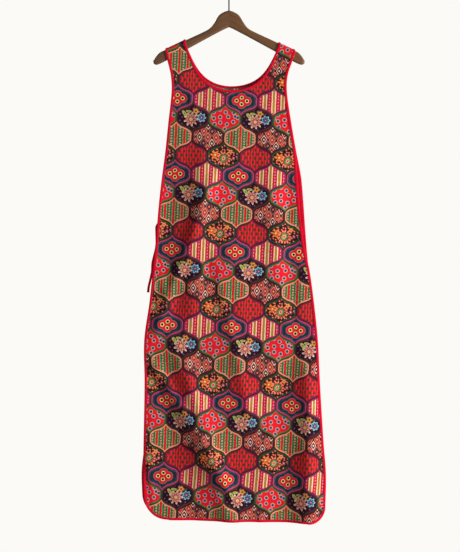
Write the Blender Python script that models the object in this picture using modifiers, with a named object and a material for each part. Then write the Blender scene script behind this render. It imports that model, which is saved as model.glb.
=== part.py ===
# Apron dress on a wooden hanger: a maxi tabard of printed cotton, open at the sides,
# with bound edges and side ties. Metres, +Z up, the front faces -Y.
# The origin is the inner crest of the hanger's hook, where a rail carries it.
import math
from collections import namedtuple

import bmesh
import bpy
from mathutils import Vector
from mathutils.geometry import delaunay_2d_cdt, interpolate_bezier

# Cloth
CLOTH = 0.0014            # wall of a panel
SEAM_GAP = 0.0004         # clear space between a panel's edge and its binding
SHOULDER_GAP = 0.0003     # each panel's distance from the shoulder seam's plane
BIND_WALL = 0.0007        # one leg of the folded binding
EDGE_BIND = 0.0070        # finished width round the outer edge
NECK_BIND = 0.0086        # finished width round the neck
PROUD = SEAM_GAP + BIND_WALL

# Hanger
HOOK_WIRE = 0.0038
HOOK_RADIUS = 0.0219      # to the middle of the wire
SHANK_TOP = -0.050
SHANK_END = -0.100
BORE_CUT = 0.060          # length of the bore's cutter, out past the wood's top
HOOK_START = 200          # the loop's first and last angles, in degrees
HOOK_TIP = -28
HOOK_LEAD = 0.011         # how softly the shank bends into the loop
HOOK_TURNS = 20
WOOD_HALF = 0.0065        # half the wood's thickness along the arms
JOINT_GAP = 0.0003        # between the two halves of the wood
SWEEP = 0.016             # how far the tips stand forward of the middle
ARM_REACH = 0.210
ARM_INNER = 0.060
ARM_INNER_TOP = -0.1340
ARM_SLOPE = -0.489

# Where the cloth bends over an arm: the radius to the middle of its wall
WRAP = 0.0088
WRAP_STEPS = 4

# Garment
NECK_MIDDLE = 0.0085
NECK_HALF = 0.1300
NECK_PULL = 0.33          # how far the straps draw the neck in from an oval
FRONT_NECK_LOW = -0.3045
BACK_NECK_LOW = -0.2925
HEM_MIDDLE = -1.5125
HEM_TILT = -0.022         # the hem falls a little towards the right
CORNER = 0.046            # radius of the rounded hem corners
FOLLOW_ARM = -0.235       # above this the cloth lies against the arms
FREE_FALL = -0.340        # below this it hangs free of them
FOLDS_BEGIN = -0.250
FOLDS_FULL = -0.380

SIDE_STEP = 0.038
HEM_STEP = 0.020
ARC_STEPS = 6
NECK_STATIONS = 20
LATTICE_X = 0.022
LATTICE_Z = 0.047
LATTICE_TOP = -0.223
LATTICE_LOW = -1.4925
STRAP_COLUMNS = (0.144, 0.159, 0.170)
STRAP_OUTER = 0.185       # where a strap's outer edge crosses its arm
EDGE_CLEAR = 0.0075       # lattice points keep this far from the bindings' inner line
STRAP_CLEAR = 0.0032

TIE_WIDTH = 0.0070
TIE_THICK = 0.0014
TIE_TOP = -0.668
TIE_SEAT = 0.0003         # clear space between a tie's sewn end and the binding
TIE_RINGS = 15
TIE_DROPS = (0.0, 0.022, 0.062, 0.135, 0.205)
TIE_LIFTS = (0.0, 0.004, 0.006, 0.007, 0.007)
TIE_LOOSE = (0.0, 0.004, 0.008, 0.009, 0.010)

Wood = namedtuple("Wood", "reach top bottom half")
Side = namedtuple("Side", "height left right")
Fold = namedtuple("Fold", "top_x top bottom_x bottom spread rise fade")
Panel = namedtuple("Panel", "name facing sides neck_low chest_y hem_y folds")
Station = namedtuple("Station", "edge inner")
Tie = namedtuple("Tie", "name panel hand sways lifts")

# Sections of one half of the hanger, from its middle to its tip
WOOD = (
    Wood(0.015, -0.0835, -0.1325, 0.0075),
    Wood(0.029, -0.0935, -0.1400, 0.0073),
    Wood(0.041, -0.1130, -0.1465, 0.0069),
    Wood(0.049, -0.1245, -0.1508, 0.0067),
    Wood(0.060, -0.1340, -0.1570, 0.0065),
    Wood(0.120, -0.1633, -0.1905, 0.0065),
    Wood(0.178, -0.1917, -0.2230, 0.0065),
    Wood(0.194, -0.1995, -0.2312, 0.0065),
    Wood(0.205, -0.2110, -0.2342, 0.0060),
    Wood(0.210, -0.2195, -0.2315, 0.0048),
)
WOOD_MIDDLE = Wood(0.0, -0.0780, -0.1255, 0.0075)

# The finished outline over the bindings, seen from the front
FRONT_SIDES = (
    Side(-0.180, -0.1815, 0.1900),
    Side(-0.215, -0.1745, 0.1810),
    Side(-0.262, -0.1632, 0.1655),
    Side(-0.307, -0.1605, 0.1620),
    Side(-0.395, -0.1695, 0.1730),
    Side(-0.481, -0.1785, 0.1860),
    Side(-0.560, -0.1890, 0.1890),
    Side(-0.650, -0.1985, 0.1960),
    Side(-0.749, -0.2055, 0.2125),
    Side(-0.813, -0.2130, 0.2260),
    Side(-0.900, -0.2225, 0.2380),
    Side(-1.007, -0.2370, 0.2490),
    Side(-1.127, -0.2360, 0.2545),
    Side(-1.289, -0.2385, 0.2645),
    Side(-1.375, -0.2390, 0.2710),
    Side(-1.439, -0.2370, 0.2705),
    Side(-1.520, -0.2330, 0.2670),
)
BACK_SIDES = (
    Side(-0.180, -0.1815, 0.1900),
    Side(-0.215, -0.1745, 0.1810),
    Side(-0.262, -0.1632, 0.1655),
    Side(-0.307, -0.1600, 0.1640),
    Side(-0.395, -0.1685, 0.1765),
    Side(-0.481, -0.1770, 0.1915),
    Side(-0.546, -0.1850, 0.2040),
    Side(-0.611, -0.1930, 0.2100),
    Side(-0.683, -0.2020, 0.2150),
    Side(-0.749, -0.2060, 0.2200),
    Side(-0.813, -0.2110, 0.2260),
    Side(-0.900, -0.2190, 0.2340),
    Side(-1.007, -0.2310, 0.2440),
    Side(-1.127, -0.2330, 0.2500),
    Side(-1.289, -0.2380, 0.2600),
    Side(-1.375, -0.2470, 0.2660),
    Side(-1.433, -0.2460, 0.2660),
    Side(-1.520, -0.2420, 0.2640),
)

# Large folds: a ridge rises outwards, a trough sinks towards the other panel
FRONT_FOLDS = (
    Fold(-0.064, -0.400, -0.112, -1.030, 0.030, 0.012, 0.16),
    Fold(-0.160, -0.480, -0.190, -0.880, 0.026, -0.005, 0.14),
    Fold(0.120, -0.430, 0.150, -0.930, 0.034, 0.006, 0.16),
    Fold(-0.005, -0.600, 0.060, -1.330, 0.044, 0.008, 0.20),
    Fold(-0.160, -0.960, 0.045, -1.640, 0.030, 0.020, 0.16),
    Fold(-0.205, -1.080, -0.070, -1.640, 0.028, -0.006, 0.14),
    Fold(0.155, -0.980, 0.130, -1.640, 0.027, -0.006, 0.16),
    Fold(0.216, -0.980, 0.236, -1.640, 0.026, 0.017, 0.16),
    Fold(-0.220, -1.180, -0.233, -1.640, 0.018, 0.006, 0.14),
)
BACK_FOLDS = (
    Fold(0.060, -0.420, 0.095, -1.020, 0.032, 0.011, 0.16),
    Fold(-0.115, -0.460, -0.150, -1.000, 0.034, 0.008, 0.16),
    Fold(-0.020, -0.640, -0.060, -1.340, 0.042, 0.008, 0.20),
    Fold(0.150, -0.960, 0.030, -1.640, 0.031, 0.017, 0.16),
    Fold(-0.175, -1.000, -0.200, -1.640, 0.027, 0.015, 0.16),
    Fold(-0.110, -1.060, -0.130, -1.640, 0.026, -0.005, 0.14),
    Fold(0.210, -1.020, 0.222, -1.640, 0.024, 0.010, 0.14),
)
FRONT = Panel("front_panel", -1, FRONT_SIDES, FRONT_NECK_LOW, -0.0230, -0.0310, FRONT_FOLDS)
BACK = Panel("back_panel", 1, BACK_SIDES, BACK_NECK_LOW, 0.0090, 0.0170, BACK_FOLDS)

# The back's left tie swings out past the front's edge, the others hang behind it
TIES = (
    Tie("tie_front_left", FRONT, "left", (0.0, 0.0, 0.003, 0.012, 0.022), TIE_LIFTS),
    Tie("tie_front_right", FRONT, "right", (0.0, 0.0, -0.004, -0.014, -0.026), TIE_LIFTS),
    Tie("tie_back_left", BACK, "left", (0.0, -0.006, -0.0075, -0.008, -0.015), TIE_LOOSE),
    Tie("tie_back_right", BACK, "right", (0.0, 0.0, -0.004, -0.014, -0.024), TIE_LIFTS),
)


def smooth(value):
    value = min(max(value, 0.0), 1.0)
    return value * value * (3.0 - 2.0 * value)


def mix(start, end, share):
    return start + (end - start) * share


def curve_through(rows, field, height):
    # A smooth curve through one column of a table whose heights fall from row to row
    heights = [row.height for row in rows]
    values = [getattr(row, field) for row in rows]
    last = len(rows) - 1
    low = next((i for i in range(1, last + 1) if heights[i] <= height), last)
    span = heights[low] - heights[low - 1]

    def slope(i):
        before = max(i - 1, 0)
        after = min(i + 1, last)
        return (values[after] - values[before]) / (heights[after] - heights[before])

    share = (height - heights[low - 1]) / span
    square = share * share
    cube = square * share
    return (
        (2 * cube - 3 * square + 1) * values[low - 1]
        + (cube - 2 * square + share) * span * slope(low - 1)
        + (3 * square - 2 * cube) * values[low]
        + (cube - square) * span * slope(low)
    )


def arm_top(x):
    return ARM_INNER_TOP + ARM_SLOPE * (abs(x) - ARM_INNER)


def arm_y(x):
    return -SWEEP * abs(x) / ARM_REACH


def wrap_start(x):
    # The height below which the cloth hangs straight, off the arm's round top
    return arm_top(x) - WOOD_HALF


def seam_level(x):
    # The shoulder seam's place up the flat pattern
    return wrap_start(x) + WRAP * math.pi / 2


def fold_depth(folds, x, height):
    depth = 0.0
    for fold in folds:
        middle = mix(fold.top_x, fold.bottom_x, (height - fold.top) / (fold.bottom - fold.top))
        across = math.exp(-(((x - middle) / fold.spread) ** 2))
        along = smooth((fold.top - height) / fold.fade) * smooth((height - fold.bottom) / fold.fade)
        depth += fold.rise * across * along
    return depth


def hang(panel, x, level):
    # Places a point of the flat pattern on the hanging panel's middle surface
    height = level
    out = WRAP
    if level > wrap_start(x):
        turn = math.pi / 2 - (level - wrap_start(x)) / WRAP
        height = wrap_start(x) + WRAP * math.cos(turn)
        out = WRAP * math.sin(turn)
    on_arm = arm_y(x) + panel.facing * (out + SHOULDER_GAP)
    fall = (height - FREE_FALL) / (HEM_MIDDLE - FREE_FALL)
    free = mix(panel.chest_y, panel.hem_y, min(max(fall, 0.0), 1.0))
    y = mix(on_arm, free, smooth((FOLLOW_ARM - height) / (FOLLOW_ARM - FREE_FALL)))
    y += panel.facing * fold_depth(panel.folds, x, height) * smooth(
        (FOLDS_BEGIN - height) / (FOLDS_BEGIN - FOLDS_FULL)
    )
    return Vector((x, y, height))


def outward(panel, x, level):
    # The panel's outer direction at a point of the flat pattern
    step = 0.0002
    across = hang(panel, x + step, level) - hang(panel, x - step, level)
    up = hang(panel, x, min(level + step, seam_level(x))) - hang(panel, x, level - step)
    return (across.cross(up) * -panel.facing).normalized()


def side_x(panel, hand, level):
    # The panel's own edge, inside the binding's fold
    inset = PROUD if hand == "left" else -PROUD
    return curve_through(panel.sides, hand, level) + inset


def seam_stations(x, inner_x):
    # Where a bound edge crosses the arm, stations follow the seam's slope
    rows = []
    for step in range(WRAP_STEPS + 1):
        drop = WRAP * math.pi / 2 * step / WRAP_STEPS
        rows.append(Station((x, seam_level(x) - drop), (inner_x, seam_level(inner_x) - drop)))
    return rows


def parallel_stations(points, width):
    # Pairs each edge point with one a binding's width inside; the cloth lies on the chain's left
    rows = []
    for before, here, after in zip(points, points[1:], points[2:]):
        run = Vector((after[0] - before[0], after[1] - before[1])).normalized()
        rows.append(Station(here, (here[0] - run.y * width, here[1] + run.x * width)))
    return rows


def neck_chain(panel):
    # From the left shoulder round the neck to the right shoulder
    width = NECK_BIND - PROUD
    half = NECK_HALF + PROUD
    wrap_drop = WRAP * math.pi / 2
    corners = {}
    stations = {}
    for hand, sign in (("left", -1), ("right", 1)):
        x = NECK_MIDDLE + sign * half
        corners[hand] = x
        stations[hand] = seam_stations(x, x + sign * width)
    points = []
    for i in range(-1, NECK_STATIONS + 2):
        angle = math.pi * i / NECK_STATIONS
        sink = math.sin(angle)
        x = NECK_MIDDLE - half * math.cos(angle) * (1 - NECK_PULL * sink * (1 - sink))
        top = seam_level(corners["left" if i < NECK_STATIONS / 2 else "right"]) - wrap_drop
        points.append((x, mix(top, panel.neck_low - PROUD, sink)))
    # The chain runs left to right with the cloth below it, on its right
    curve = parallel_stations(points, -width)
    return stations["left"] + curve[1:-1] + stations["right"][::-1]


def outer_chain(panel):
    # From the right shoulder down, along the hem and up to the left shoulder
    width = EDGE_BIND - PROUD
    ends = {}
    for hand, sign in (("right", -1), ("left", 1)):
        x = side_x(panel, hand, arm_top(STRAP_OUTER))
        ends[hand] = seam_stations(x, x + sign * width)

    def hem(x):
        return HEM_MIDDLE + HEM_TILT * x + PROUD

    def side_run(hand, low):
        high = ends[hand][-1].edge[1]
        count = round((high - low) / SIDE_STEP)
        levels = [mix(high, low, i / count) for i in range(1, count + 1)]
        return [(side_x(panel, hand, level), level) for level in levels]

    corners = {}
    for hand, sign in (("right", -1), ("left", 1)):
        x = side_x(panel, hand, hem(0.0) + CORNER)
        corners[hand] = (x + sign * CORNER, hem(x) + CORNER)

    def arc(hand, first, last):
        middle = corners[hand]
        angles = [math.radians(mix(first, last, i / ARC_STEPS)) for i in range(1, ARC_STEPS + 1)]
        return [(middle[0] + CORNER * math.cos(a), middle[1] + CORNER * math.sin(a)) for a in angles]

    right = side_run("right", corners["right"][1])
    left = side_run("left", corners["left"][1])
    start_x = corners["right"][0]
    end_x = corners["left"][0]
    count = round((start_x - end_x) / HEM_STEP)
    hem_run = [mix(start_x, end_x, i / count) for i in range(1, count)]
    points = [ends["right"][-1].edge]
    points += right + arc("right", 0, -90)
    points += [(x, hem(x)) for x in hem_run]
    points += [(end_x, hem(end_x))] + arc("left", -90, -180) + left[-2::-1]
    points += [ends["left"][-1].edge]
    # The chain runs clockwise seen from the front, with the cloth on its right
    curve = parallel_stations(points, -width)
    return ends["right"] + curve + ends["left"][::-1]


def seam_points(start, end):
    # Two points between the bindings along a shoulder seam
    columns = [mix(start[0], end[0], share) for share in (1 / 3, 2 / 3)]
    return [(x, seam_level(x)) for x in columns]


def inner_loop(neck, outer):
    loop = [station.inner for station in neck]
    loop += seam_points(neck[-1].inner, outer[0].inner)
    loop += [station.inner for station in outer]
    loop += seam_points(outer[-1].inner, neck[0].inner)
    return loop


def inside(loop, x, level):
    odd = False
    for (ax, az), (bx, bz) in zip(loop, loop[1:] + loop[:1]):
        if (az > level) != (bz > level) and x < mix(ax, bx, (level - az) / (bz - az)):
            odd = not odd
    return odd


def far_from(loop, x, level, least):
    return all((px - x) ** 2 + (pz - level) ** 2 > least * least for px, pz in loop)


def lattice(panel, loop):
    # Points of the cloth between its bound edges
    points = []
    for hand in (-1, 1):
        for step in range(1, WRAP_STEPS + 3):
            drop = WRAP * math.pi / 2 * step / WRAP_STEPS
            points += [(hand * x, seam_level(x) - drop) for x in STRAP_COLUMNS]
    rows = round((LATTICE_TOP - LATTICE_LOW) / LATTICE_Z)
    for row in range(rows + 1):
        level = mix(LATTICE_TOP, LATTICE_LOW, row / rows)
        left = side_x(panel, "left", level)
        right = side_x(panel, "right", level)
        columns = round((right - left) / LATTICE_X)
        points += [(mix(left, right, i / columns), level) for i in range(1, columns)]
    kept = []
    for x, level in points:
        clear = EDGE_CLEAR if level < FOLLOW_ARM else STRAP_CLEAR
        if inside(loop, x, level) and far_from(loop, x, level, clear):
            kept.append((x, level))
    return kept


def principled(name, colour, roughness, metallic=0.0):
    material = bpy.data.materials.new(name)
    material.use_nodes = True
    shader = material.node_tree.nodes["Principled BSDF"]
    shader.inputs["Base Color"].default_value = (*colour, 1.0)
    shader.inputs["Roughness"].default_value = roughness
    shader.inputs["Metallic"].default_value = metallic
    material.diffuse_color = (*colour, 1.0)
    return material


def add_object(name, mesh, material):
    mesh.materials.append(material)
    thing = bpy.data.objects.new(name, mesh)
    parts.objects.link(thing)
    mesh.shade_smooth()
    mesh.set_sharp_from_angle(angle=math.radians(40))
    return thing


def add_panel(panel, neck, outer, material):
    bm = bmesh.new()

    def add_face(points):
        turn = sum(a[0] * b[1] - b[0] * a[1] for a, b in zip(points, points[1:] + points[:1]))
        if turn * panel.facing > 0:
            points = points[::-1]
        bm.faces.new([bm.verts.new((x, 0.0, level)) for x, level in points])

    for chain in (neck, outer):
        for a, b in zip(chain, chain[1:]):
            add_face([a.edge, b.edge, b.inner])
            add_face([a.edge, b.inner, a.inner])
    loop = inner_loop(neck, outer)
    points = loop + lattice(panel, loop)
    spots, _, faces, _, _, _ = delaunay_2d_cdt(
        [Vector(p) for p in points], [], [list(range(len(loop)))], 1, 1e-7
    )
    for face in faces:
        add_face([tuple(spots[i]) for i in face])
    bmesh.ops.remove_doubles(bm, verts=bm.verts, dist=0.00005)
    for vert in bm.verts:
        vert.co = hang(panel, vert.co.x, vert.co.z)
    mesh = bpy.data.meshes.new(panel.name)
    bm.to_mesh(mesh)
    bm.free()
    thing = add_object(panel.name, mesh, material)
    wall = thing.modifiers.new("wall", "SOLIDIFY")
    wall.thickness = CLOTH
    wall.offset = 0.0
    return thing


def binding_ring(panel, station):
    # A folded strip round the panel's edge: eight corners of its U, from the outer leg round
    edge = hang(panel, *station.edge)
    inner = hang(panel, *station.inner)
    edge_out = outward(panel, *station.edge)
    inner_out = outward(panel, *station.inner)
    away = (edge - inner).normalized()
    low = CLOTH / 2 + SEAM_GAP
    high = low + BIND_WALL
    return [
        inner + inner_out * high,
        edge + away * PROUD + edge_out * high,
        edge + away * PROUD - edge_out * high,
        inner - inner_out * high,
        inner - inner_out * low,
        edge + away * SEAM_GAP - edge_out * low,
        edge + away * SEAM_GAP + edge_out * low,
        inner + inner_out * low,
    ]


def loft(bm, rings, closed):
    rows = [[bm.verts.new(point) for point in ring] for ring in rings]
    pairs = list(zip(rows, rows[1:]))
    if closed:
        pairs.append((rows[-1], rows[0]))
    for a, b in pairs:
        for i in range(len(a)):
            j = (i + 1) % len(a)
            bm.faces.new((a[i], a[j], b[j]))
            bm.faces.new((a[i], b[j], b[i]))
    if not closed:
        bm.faces.new(rows[0][::-1])
        bm.faces.new(rows[-1])
    bmesh.ops.recalc_face_normals(bm, faces=bm.faces)


def add_loft(name, rings, material, closed=False):
    bm = bmesh.new()
    loft(bm, rings, closed)
    mesh = bpy.data.meshes.new(name)
    bm.to_mesh(mesh)
    bm.free()
    return add_object(name, mesh, material)


def add_binding(name, front_chain, back_chain, material):
    # One strip round the front, over a shoulder, round the back and over the other
    rings = [binding_ring(FRONT, station) for station in front_chain]
    rings += [binding_ring(BACK, station) for station in reversed(back_chain)]
    return add_loft(name, rings, material, closed=True)


def add_tie(tie, material):
    # Sewn to the inner leg of the edge binding, then hanging free
    sign = 1 if tie.hand == "left" else -1
    seat = CLOTH / 2 + SEAM_GAP + BIND_WALL + TIE_SEAT + TIE_THICK / 2
    middle_x = side_x(tie.panel, tie.hand, TIE_TOP) + sign * EDGE_BIND / 2
    spans = len(TIE_DROPS) - 1
    rings = []
    for i in range(TIE_RINGS + 1):
        row = min(i * spans // TIE_RINGS, spans - 1)
        share = i * spans / TIE_RINGS - row
        x = middle_x + mix(tie.sways[row], tie.sways[row + 1], smooth(share))
        lift = mix(tie.lifts[row], tie.lifts[row + 1], smooth(share))
        height = TIE_TOP - mix(TIE_DROPS[row], TIE_DROPS[row + 1], share)
        inwards = -outward(tie.panel, x, height)
        middle = hang(tie.panel, x, height) + inwards * (seat + lift)
        across = inwards.cross(Vector((0.0, 0.0, 1.0))).normalized() * TIE_WIDTH / 2
        deep = inwards * TIE_THICK / 2
        corners = (-across - deep, across - deep, across + deep, deep - across)
        rings.append([middle + corner for corner in corners])
    return add_loft(tie.name, rings, material)


def wood_ring(row, sign):
    # Straight flanks with a half-round top and bottom
    ring = []
    for middle, first in ((row.top - row.half, 0), (row.bottom + row.half, 180)):
        for step in range(7):
            angle = math.radians(first + step * 30)
            y = arm_y(row.reach) + row.half * math.cos(angle)
            ring.append(Vector((sign * row.reach, y, middle + row.half * math.sin(angle))))
    return ring


def add_arm(name, sign, material):
    first = WOOD_MIDDLE._replace(reach=JOINT_GAP / 2)
    arm = add_loft(name, [wood_ring(row, sign) for row in (first, *WOOD)], material)
    bore = arm.modifiers.new("bore", "BOOLEAN")
    bore.operation = "DIFFERENCE"
    bore.solver = "EXACT"
    bore.object = bore_cutter
    return arm


def add_bore_cutter():
    # The bore that holds the hook's shank, cut half in each arm
    bpy.ops.mesh.primitive_cylinder_add(
        vertices=16,
        radius=HOOK_WIRE / 2 + JOINT_GAP,
        depth=BORE_CUT,
        location=(0.0, 0.0, SHANK_END - JOINT_GAP + BORE_CUT / 2),
    )
    cutter = bpy.context.object
    cutter.name = "bore_cutter"
    for owner in list(cutter.users_collection):
        owner.objects.unlink(cutter)
    cutters.objects.link(cutter)
    cutter.hide_render = True
    cutter.display_type = "WIRE"
    return cutter


def hook_path():
    # Straight shank, a bend to the left, then a loop over the rail and down to an open tip
    middle = Vector((0.0, 0.0, -HOOK_RADIUS + HOOK_WIRE / 2))
    first = math.radians(HOOK_START)
    last = math.radians(HOOK_TIP)

    def on_loop(angle):
        return middle + HOOK_RADIUS * Vector((math.cos(angle), 0.0, math.sin(angle)))

    foot = Vector((0.0, 0.0, SHANK_END))
    start = Vector((0.0, 0.0, SHANK_TOP))
    end = on_loop(first)
    leave = start + Vector((0.0, 0.0, HOOK_LEAD))
    enter = end - HOOK_LEAD * Vector((math.sin(first), 0.0, -math.cos(first)))
    bend = interpolate_bezier(start, leave, enter, end, 7)
    loop = [on_loop(mix(first, last, i / HOOK_TURNS)) for i in range(1, HOOK_TURNS + 1)]
    return [foot, (foot + start) / 2, *bend, *loop]


def add_hook(material):
    curve = bpy.data.curves.new("hanger_hook", "CURVE")
    curve.dimensions = "3D"
    curve.bevel_depth = HOOK_WIRE / 2
    curve.bevel_resolution = 2
    curve.use_fill_caps = True
    path = hook_path()
    spline = curve.splines.new("POLY")
    spline.points.add(len(path) - 1)
    for point, place in zip(spline.points, path):
        point.co = (*place, 1.0)
    curve.materials.append(material)
    hook = bpy.data.objects.new("hanger_hook", curve)
    parts.objects.link(hook)
    return hook


for leftover in list(bpy.data.objects):
    bpy.data.objects.remove(leftover)

parts = bpy.data.collections.new("apron_dress_on_hanger")
cutters = bpy.data.collections.new("cutters")
bpy.context.scene.collection.children.link(parts)
bpy.context.scene.collection.children.link(cutters)

printed_cotton = principled("printed_cotton", (0.33, 0.06, 0.06), 0.85)
crimson_cotton = principled("crimson_cotton", (0.66, 0.01, 0.03), 0.80)
walnut = principled("walnut", (0.07, 0.035, 0.02), 0.45)
black_steel = principled("black_steel", (0.02, 0.02, 0.02), 0.35, 1.0)

front_neck = neck_chain(FRONT)
back_neck = neck_chain(BACK)
front_outer = outer_chain(FRONT)
back_outer = outer_chain(BACK)

add_panel(FRONT, front_neck, front_outer, printed_cotton)
add_panel(BACK, back_neck, back_outer, printed_cotton)
add_binding("neck_binding", front_neck, back_neck, crimson_cotton)
add_binding("edge_binding", front_outer, back_outer, crimson_cotton)
for tie in TIES:
    add_tie(tie, crimson_cotton)
bore_cutter = add_bore_cutter()
add_arm("hanger_arm_left", -1, walnut)
add_arm("hanger_arm_right", 1, walnut)
add_hook(black_steel)
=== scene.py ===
import math

import bmesh
import bpy
import numpy as np
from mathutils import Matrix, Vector, noise
from mathutils.geometry import interpolate_bezier


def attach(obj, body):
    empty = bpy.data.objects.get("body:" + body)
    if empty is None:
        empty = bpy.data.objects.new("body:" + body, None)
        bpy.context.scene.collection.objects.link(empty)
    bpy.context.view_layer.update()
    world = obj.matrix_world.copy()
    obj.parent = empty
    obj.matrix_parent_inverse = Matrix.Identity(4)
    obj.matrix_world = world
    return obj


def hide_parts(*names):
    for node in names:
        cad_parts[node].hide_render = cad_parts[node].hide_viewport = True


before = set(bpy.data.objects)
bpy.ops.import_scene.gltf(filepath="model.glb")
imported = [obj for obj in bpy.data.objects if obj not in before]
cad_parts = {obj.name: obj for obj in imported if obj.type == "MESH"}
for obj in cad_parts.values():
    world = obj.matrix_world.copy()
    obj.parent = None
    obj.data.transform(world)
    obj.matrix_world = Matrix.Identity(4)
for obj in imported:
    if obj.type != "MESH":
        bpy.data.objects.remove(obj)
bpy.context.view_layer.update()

scene = bpy.context.scene

# Cloth on the hanger. The flat pattern is (x, level); hang() places it in the room.
cloth = {
    "wall": 0.0010,
    "shoulderGap": 0.0003,
    "wrap": 0.0088,          # radius of the cloth's bend over an arm
    "followArm": -0.235,     # above this the cloth lies against the arms
    "freeFall": -0.340,
    "foldsBegin": -0.250,
    "foldsFull": -0.380,
    "hemMiddle": -1.5125,
    "hemTilt": -0.022,
    "corners": (0.064, 0.046),
    "innerCorner": 0.046,    # the same rows' depth at the middle, where the halves meet
    "ripple": 0.0013,
    "rippleScale": (17.0, 5.0),
    "pucker": 0.0005,
    "puckerScale": (46.0, 21.0),
    "flutter": 0.0016,       # waves along the free edges
    "flutterScale": 13.0,
    "flutterReach": 0.028,
    "tuck": 0.0007,          # small pulls of the binding's seam
    "tuckScale": 62.0,
    "creaseFade": 0.10,      # how far below the shoulders the creases reach their depth
}
neck = {"middle": 0.0085, "half": 0.1300, "pull": 0.33}
strapOuter = 0.185

# Rows and columns of the cloth's faces
clothRows = {
    "columns": 54,
    "wrap": 8,
    "neck": 40,
    "neckSide": -0.378,      # level on the side that faces the neck's lowest point
    "strap": 4,              # rows in which the strap's side eases into the curve
    "levelling": 16,
    "level": -0.450,         # below this the rows run level
    "step": 0.0056,
    "corner": 12,
}
# Where the folds' flat width is measured: start, end and step
widthGrid = {"x": (-0.300, 0.3201, 0.004), "level": (-1.56, -0.239, 0.012)}

# Sides over the bindings: height, left, right
frontSides = [
    (-0.180, -0.1815, 0.1900),
    (-0.215, -0.1745, 0.1810),
    (-0.262, -0.1632, 0.1655),
    (-0.307, -0.1605, 0.1620),
    (-0.395, -0.1695, 0.1738),
    (-0.481, -0.1785, 0.1872),
    (-0.560, -0.1890, 0.1928),
    (-0.650, -0.1985, 0.2000),
    (-0.749, -0.2055, 0.2125),
    (-0.813, -0.2130, 0.2260),
    (-0.900, -0.2225, 0.2380),
    (-1.007, -0.2370, 0.2490),
    (-1.127, -0.2360, 0.2545),
    (-1.289, -0.2385, 0.2645),
    (-1.375, -0.2390, 0.2710),
    (-1.439, -0.2370, 0.2705),
    (-1.520, -0.2330, 0.2670),
]
backSides = [
    (-0.180, -0.1815, 0.1900),
    (-0.215, -0.1745, 0.1810),
    (-0.262, -0.1632, 0.1655),
    (-0.307, -0.1600, 0.1640),
    (-0.395, -0.1685, 0.1765),
    (-0.481, -0.1770, 0.1915),
    (-0.546, -0.1850, 0.2040),
    (-0.611, -0.1930, 0.2100),
    (-0.683, -0.2020, 0.2150),
    (-0.749, -0.2060, 0.2200),
    (-0.813, -0.2110, 0.2260),
    (-0.900, -0.2190, 0.2340),
    (-1.007, -0.2310, 0.2440),
    (-1.127, -0.2330, 0.2500),
    (-1.289, -0.2380, 0.2600),
    (-1.375, -0.2470, 0.2660),
    (-1.433, -0.2460, 0.2660),
    (-1.520, -0.2420, 0.2640),
]

# Folds and creases: top x, top, bottom x, bottom, spread, rise, fade
frontFolds = [
    (-0.064, -0.400, -0.112, -1.030, 0.030, 0.012, 0.16),
    (-0.160, -0.480, -0.190, -0.880, 0.026, -0.005, 0.14),
    (0.120, -0.430, 0.150, -0.930, 0.034, 0.006, 0.16),
    (-0.005, -0.600, 0.060, -1.330, 0.044, 0.008, 0.20),
    (-0.160, -0.960, 0.045, -1.640, 0.030, 0.020, 0.16),
    (-0.205, -1.080, -0.070, -1.640, 0.028, -0.006, 0.14),
    (0.155, -0.980, 0.130, -1.640, 0.027, -0.006, 0.16),
    (0.216, -0.980, 0.236, -1.640, 0.026, 0.017, 0.16),
    (-0.220, -1.180, -0.233, -1.640, 0.018, 0.006, 0.14),
]
frontCreases = [
    (-0.128, -0.262, -0.062, -0.470, 0.010, 0.0022, 0.08),
    (0.134, -0.262, 0.085, -0.500, 0.011, 0.0020, 0.09),
    (-0.182, -0.650, -0.092, -0.780, 0.012, -0.0026, 0.06),
    (0.182, -0.640, 0.104, -0.800, 0.012, 0.0024, 0.07),
    (0.018, -0.350, 0.036, -0.620, 0.013, 0.0018, 0.10),
    (-0.205, -0.760, -0.150, -1.020, 0.011, 0.0024, 0.10),
    (0.060, -0.900, 0.100, -1.300, 0.014, -0.0026, 0.14),
    (-0.120, -1.180, -0.150, -1.520, 0.012, 0.0022, 0.10),
    (0.190, -0.790, 0.172, -1.150, 0.012, -0.0022, 0.12),
    (0.090, -1.260, 0.085, -1.640, 0.013, 0.0030, 0.12),
    (-0.020, -0.690, -0.050, -0.960, 0.010, -0.0016, 0.10),
    (-0.016, -0.480, -0.226, -1.040, 0.018, 0.0095, 0.10),
    (-0.060, -0.680, 0.070, -1.270, 0.016, 0.0050, 0.13),
    (-0.240, -1.020, 0.060, -1.520, 0.018, 0.0105, 0.09),
    (-0.264, -1.020, 0.034, -1.520, 0.014, -0.0045, 0.09),
    (0.222, -1.240, 0.200, -1.600, 0.020, 0.0085, 0.10),
    (0.172, -1.250, 0.160, -1.600, 0.018, -0.0050, 0.10),
    (0.158, -0.500, 0.172, -0.960, 0.024, -0.0060, 0.12),
    (-0.2410, -1.320, -0.2160, -1.510, 0.007, -0.0055, 0.04),
]
backFolds = [
    (0.060, -0.420, 0.095, -1.020, 0.032, 0.011, 0.16),
    (-0.115, -0.460, -0.150, -1.000, 0.034, 0.008, 0.16),
    (-0.020, -0.640, -0.060, -1.340, 0.042, 0.008, 0.20),
    (0.150, -0.960, 0.030, -1.640, 0.031, 0.017, 0.16),
    (-0.175, -1.000, -0.200, -1.640, 0.027, 0.015, 0.16),
    (-0.110, -1.060, -0.130, -1.640, 0.026, -0.005, 0.14),
    (0.210, -1.020, 0.222, -1.640, 0.024, 0.010, 0.14),
]
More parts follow.
